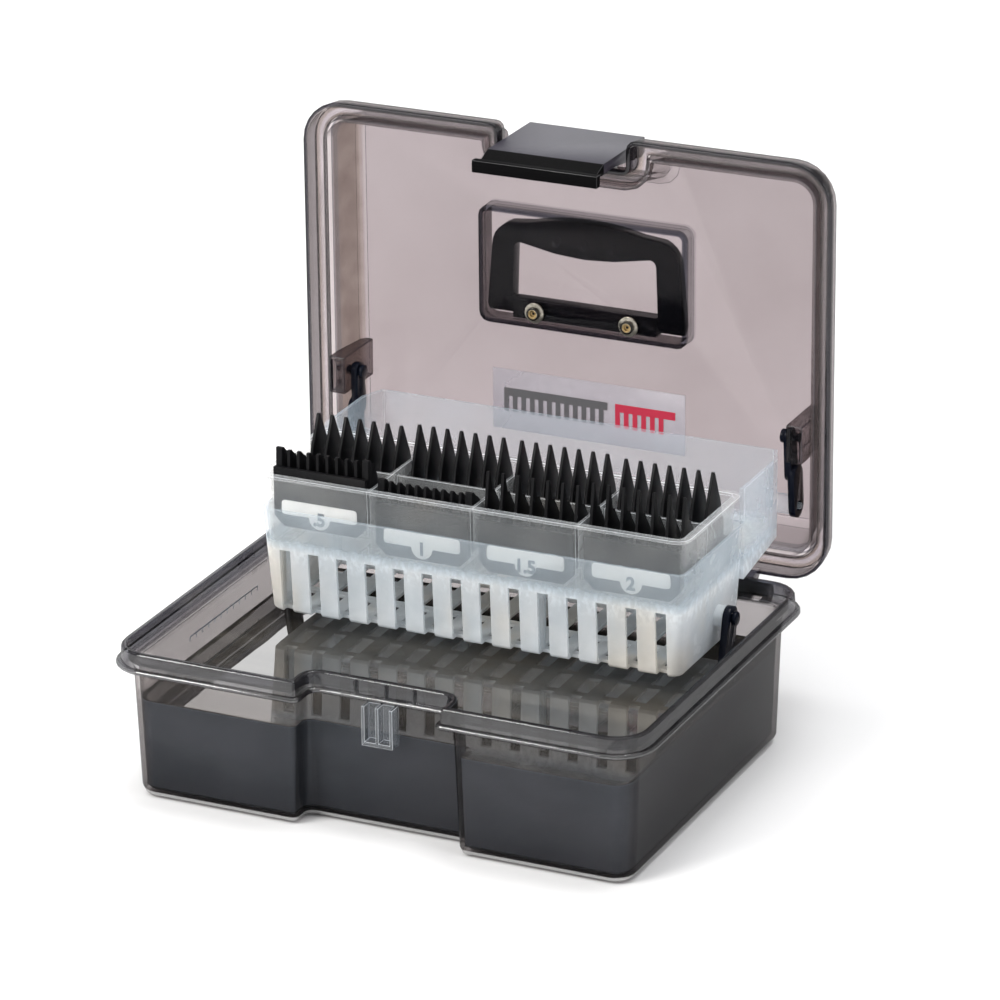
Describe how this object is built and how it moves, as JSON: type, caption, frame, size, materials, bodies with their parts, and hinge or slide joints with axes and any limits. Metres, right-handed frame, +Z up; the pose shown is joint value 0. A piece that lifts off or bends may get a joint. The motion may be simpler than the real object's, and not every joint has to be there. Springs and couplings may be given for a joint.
{
  "type": "clipper guard comb case",
  "caption": "Clear smoky disinfecting and storage case for clipper guard combs: hinged lid whose side links lift a basket with a comb tray out of the tub.",
  "frame": {"origin": "middle of the tub's flat underside", "axes": "+X to the case's right side seen from the front, +Y towards the hinge at the back, +Z up; the lid stands open"},
  "size_m": [0.2684, 0.2473, 0.2728],
  "materials": {
    "smoky_plastic": "clear smoke-grey polycarbonate, polished, see-through",
    "clear_plastic": "lighter clear plastic, polished, see-through",
    "milky_plastic": "natural polypropylene, milky and translucent, satin",
    "comb_nylon": "black glass-filled nylon, satin with moulding marks",
    "black_plastic": "black moulded plastic, semi-gloss",
    "charcoal_plastic": "charcoal moulded plastic, fine satin grain",
    "seal_rubber": "soft dark gasket, dull",
    "label_film": "off-white printed film, satin",
    "steel": "nickel-plated steel, bright"
  },
  "bodies": {
    "tub": {"base_tub": "smoky_plastic", "front_catch": "clear_plastic", "left_tub_bracket": "smoky_plastic", "right_tub_bracket": "smoky_plastic", "left_hinge_pin": "steel", "right_hinge_pin": "steel", "left_tub_pivot_screw": "steel", "right_tub_pivot_screw": "steel"},
    "lid": {"lid_shell": "smoky_plastic", "lid_seal": "seal_rubber", "latch_pin": "steel", "handle_bar": "black_plastic", "left_bar_screw": "steel", "right_bar_screw": "steel", "lid_label": "label_film", "left_lid_bracket": "smoky_plastic", "right_lid_bracket": "smoky_plastic", "left_lid_pivot_screw": "steel", "right_lid_pivot_screw": "steel"},
    "latch": {"latch_flap": "charcoal_plastic"},
    "handle": {"carry_handle": "black_plastic"},
    "left_upper_arm": {"left_upper_link": "black_plastic"},
    "right_upper_arm": {"right_upper_link": "black_plastic"},
    "left_lower_arm": {"left_lower_link": "black_plastic"},
    "right_lower_arm": {"right_lower_link": "black_plastic"},
    "basket": {"lift_basket": "milky_plastic", "left_arm_pivot_screw": "steel", "right_arm_pivot_screw": "steel"},
    "tray": {"comb_tray": "milky_plastic"},
    "comb_half": {"comb_size_half": "comb_nylon", "label_size_half": "label_film"},
    "comb_1": {"comb_size_1": "comb_nylon", "label_size_1": "label_film"},
    "comb_1_5": {"comb_size_1_5": "comb_nylon", "label_size_1_5": "label_film"},
    "comb_2": {"comb_size_2": "comb_nylon", "label_size_2": "label_film"},
    "comb_3": {"comb_size_3": "comb_nylon"},
    "comb_4": {"comb_size_4": "comb_nylon"},
    "comb_6": {"comb_size_6": "comb_nylon"},
    "comb_8": {"comb_size_8": "comb_nylon"}
  },
  "joints": [
    {"name": "lid_hinge", "type": "hinge", "parent": "tub", "child": "lid", "pos_m": [0, 0.1092, 0.0622], "axis": [-1, 0, 0], "range_deg": [-90, 0]},
    {"name": "latch_hinge", "type": "hinge", "parent": "lid", "child": "latch", "pos_m": [0, 0.139, 0.2599], "axis": [-1, 0, 0], "range_deg": [-2.5, 95]},
    {"name": "handle_hinge", "type": "hinge", "parent": "lid", "child": "handle", "pos_m": [0, 0.1434, 0.174], "axis": [-1, 0, 0], "range_deg": [0, 95]},
    {"name": "left_lower_pivot", "type": "hinge", "parent": "tub", "child": "left_lower_arm", "pos_m": [-0.1112, 0.04, 0.018], "axis": [-1, 0, 0], "range_deg": [-102, 0.5]},
    {"name": "right_lower_pivot", "type": "hinge", "parent": "tub", "child": "right_lower_arm", "pos_m": [0.1112, 0.04, 0.018], "axis": [-1, 0, 0], "range_deg": [-102, 0.5]},
    {"name": "basket_pivot", "type": "hinge", "parent": "left_lower_arm", "child": "basket", "pos_m": [-0.1112, 0.0528, 0.0724], "axis": [1, 0, 0], "range_deg": [-102, 0.5]},
    {"name": "left_upper_pivot", "type": "hinge", "parent": "lid", "child": "left_upper_arm", "pos_m": [-0.1118, 0.1226, 0.1368], "axis": [1, 0, 0], "range_deg": [-56.5, 0.5]},
    {"name": "right_upper_pivot", "type": "hinge", "parent": "lid", "child": "right_upper_arm", "pos_m": [0.1118, 0.1226, 0.1368], "axis": [1, 0, 0], "range_deg": [-56.5, 0.5]},
    {"name": "tray_lift", "type": "slide", "parent": "basket", "child": "tray", "axis": [0, 0, 1], "range_m": [0, 0.08]},
    {"name": "comb_half_lift", "type": "slide", "parent": "tray", "child": "comb_half", "axis": [0, 0, 1], "range_m": [0, 0.045]},
    {"name": "comb_1_lift", "type": "slide", "parent": "tray", "child": "comb_1", "axis": [0, 0, 1], "range_m": [0, 0.045]},
    {"name": "comb_1_5_lift", "type": "slide", "parent": "tray", "child": "comb_1_5", "axis": [0, 0, 1], "range_m": [0, 0.045]},
    {"name": "comb_2_lift", "type": "slide", "parent": "tray", "child": "comb_2", "axis": [0, 0, 1], "range_m": [0, 0.045]},
    {"name": "comb_3_lift", "type": "slide", "parent": "tray", "child": "comb_3", "axis": [0, 0, 1], "range_m": [0, 0.045]},
    {"name": "comb_4_lift", "type": "slide", "parent": "tray", "child": "comb_4", "axis": [0, 0, 1], "range_m": [0, 0.045]},
    {"name": "comb_6_lift", "type": "slide", "parent": "tray", "child": "comb_6", "axis": [0, 0, 1], "range_m": [0, 0.045]},
    {"name": "comb_8_lift", "type": "slide", "parent": "tray", "child": "comb_8", "axis": [0, 0, 1], "range_m": [0, 0.045]}
  ],
  "couplings": [
    {"joint": "left_lower_pivot", "follows": "lid_hinge", "ratio": 1.13},
    {"joint": "right_lower_pivot", "follows": "lid_hinge", "ratio": 1.13},
    {"joint": "basket_pivot", "follows": "lid_hinge", "ratio": 1.13},
    {"joint": "left_upper_pivot", "follows": "lid_hinge", "ratio": 0.622},
    {"joint": "right_upper_pivot", "follows": "lid_hinge", "ratio": 0.622}
  ]
}
